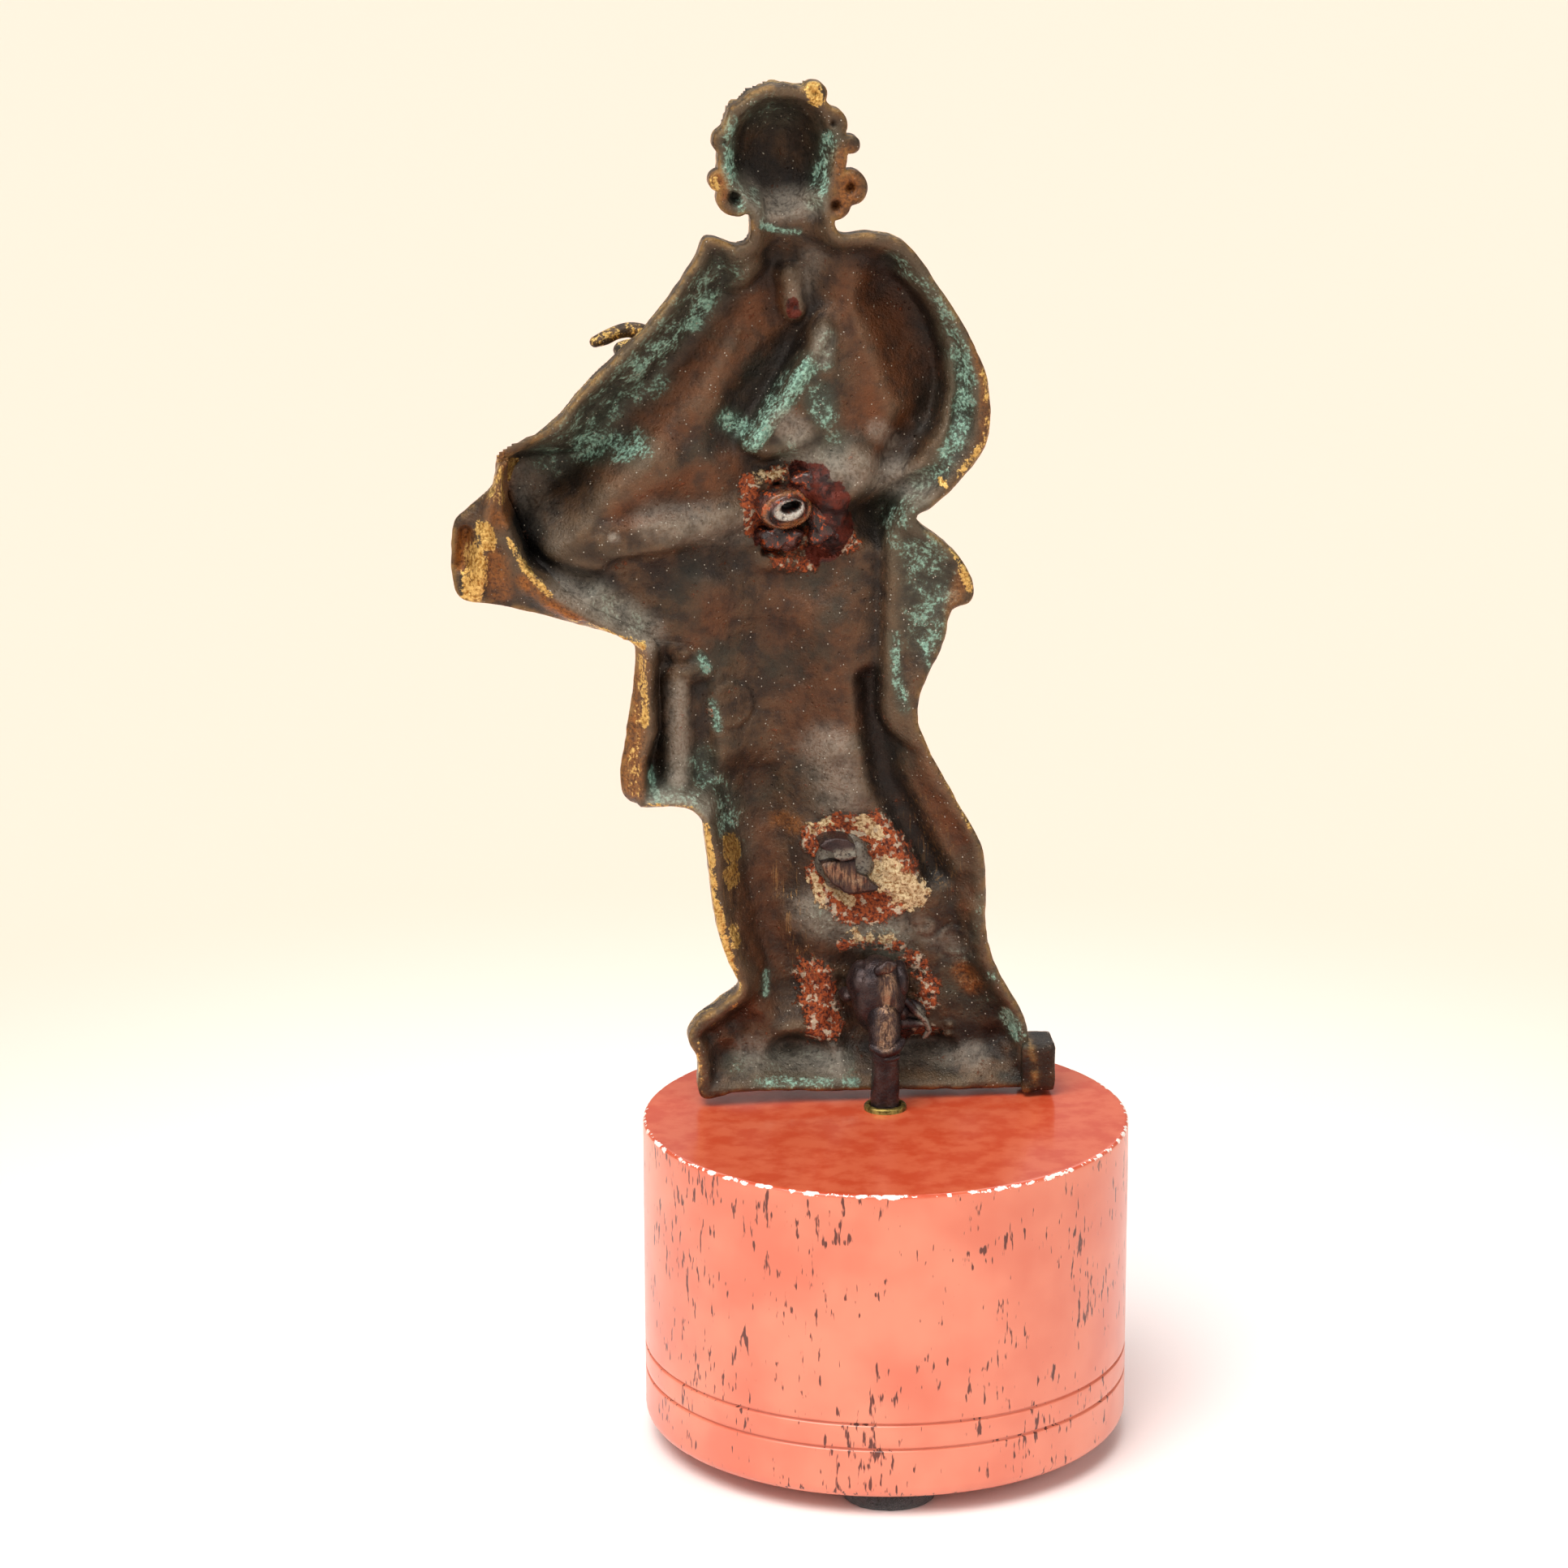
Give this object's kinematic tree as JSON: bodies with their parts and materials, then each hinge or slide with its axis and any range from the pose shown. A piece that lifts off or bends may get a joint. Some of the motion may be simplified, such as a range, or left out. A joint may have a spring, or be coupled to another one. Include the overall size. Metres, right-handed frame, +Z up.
{
  "type": "gilt bronze relief figure on a turned wooden base",
  "caption": "Hollow-cast robed bronze figure, open behind and gilt in front, held by an iron pin in a painted wooden drum with felt feet.",
  "frame": {"origin": "middle of the whole outline seen from above, on the ground under the felt pads", "axes": "+Z up along the standing figure; +Y the way the gilt front of the figure faces; the open hollow back faces -Y"},
  "size_m": [0.1374, 0.1, 0.2798],
  "materials": {
    "gilt_bronze": "dark brown cast bronze with grey dust and pale green corrosion; worn gilding on the outer faces",
    "iron": "dark purple-brown iron, smooth from handling, with rust round the weld",
    "solder": "glossy dark red-brown solder with a pale lip",
    "painted_wood": "salmon red paint over white ground on turned wood, glossier on top, with brown pores and chipped edges",
    "collar_brass": "dull olive brass",
    "felt": "black wool felt"
  },
  "bodies": {
    "root": {"bronze_figure": "gilt_bronze", "mounting_pin": "iron", "broken_pin_stub": "iron", "waist_weld_boss": "solder", "turned_base": "painted_wood", "pin_collar": "collar_brass", "foot_pad_front": "felt", "foot_pad_back": "felt", "foot_pad_left": "felt", "foot_pad_right": "felt"}
  },
  "joints": []
}
